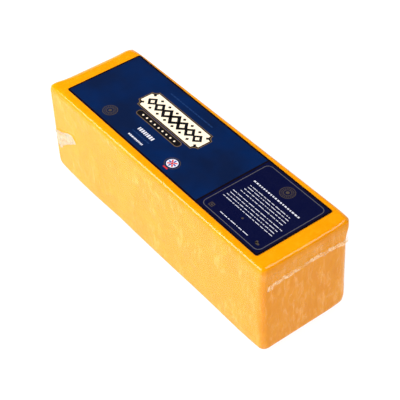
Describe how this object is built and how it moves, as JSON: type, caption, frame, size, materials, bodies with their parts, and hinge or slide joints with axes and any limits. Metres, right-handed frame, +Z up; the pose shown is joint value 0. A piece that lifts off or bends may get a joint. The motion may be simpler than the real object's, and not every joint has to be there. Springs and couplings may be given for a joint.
{
  "type": "cheddar block",
  "caption": "Long catering block of cheddar cheese, sealed tight in clear film with crimped end seals and a dark printed label on top.",
  "frame": {"origin": "middle of the underside, on the surface the block stands on", "axes": "+X along the length towards the front end, +Z up out of the label; -Y is the long side the picture shows"},
  "size_m": [0.36, 0.1182, 0.113],
  "materials": {
    "film_and_cheese": "yellow cheddar under tight clear film, glossy with fine crinkles",
    "label_print": "satin navy printed film label"
  },
  "bodies": {
    "root": {"wrapped_cheddar": "film_and_cheese", "top_label": "label_print"}
  },
  "joints": []
}
